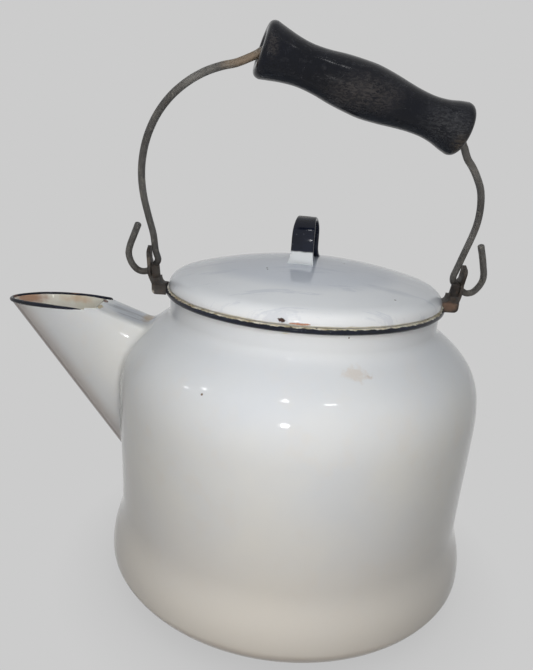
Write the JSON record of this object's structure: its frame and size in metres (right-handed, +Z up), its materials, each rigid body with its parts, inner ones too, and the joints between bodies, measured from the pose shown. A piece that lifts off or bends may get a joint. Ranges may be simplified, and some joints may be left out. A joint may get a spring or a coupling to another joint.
{
  "type": "enamel coffee pot",
  "caption": "Enamelled sheet steel coffee pot with a boat-shaped spout, lift-off lid, swinging wire bail and turned wooden grip.",
  "frame": {"origin": "middle of the flat base, on the surface the pot stands on", "axes": "+Z up, spout towards -X, bail axis along X, the bail leans towards -Y at rest"},
  "size_m": [0.2805, 0.218, 0.3102],
  "materials": {
    "white_enamel": "glossy white vitreous enamel on sheet steel",
    "navy_enamel": "glossy navy vitreous enamel",
    "wire_steel": "dull drawn wire with rust freckles",
    "ear_steel": "dark tarnished steel with rust",
    "black_wood": "worn black lacquer on turned wood"
  },
  "bodies": {
    "pot": {"body_shell": "white_enamel", "bottom_plate": "white_enamel", "rim_bead": "navy_enamel", "spout_shell": "white_enamel", "spout_lip": "navy_enamel", "ear_spout_side": "ear_steel", "ear_far_side": "ear_steel"},
    "lid": {"lid_cover": "white_enamel", "lid_skirt": "white_enamel", "lid_handle": "navy_enamel"},
    "bail": {"bail_wire": "wire_steel"},
    "grip": {"grip": "black_wood"}
  },
  "joints": [
    {"name": "bail_swing", "type": "hinge", "parent": "pot", "child": "bail", "pos_m": [0, 0, 0.1842], "axis": [-1, 0, 0], "range_deg": [0, 130]},
    {"name": "grip_spin", "type": "hinge", "parent": "bail", "child": "grip", "pos_m": [-0.0325, -0.05342, 0.29876], "axis": [0.9516, 0.1299, -0.2786], "continuous": true},
    {"name": "lid_lift", "type": "slide", "parent": "pot", "child": "lid", "axis": [0, 0, 1], "range_m": [0, 0.045]}
  ]
}
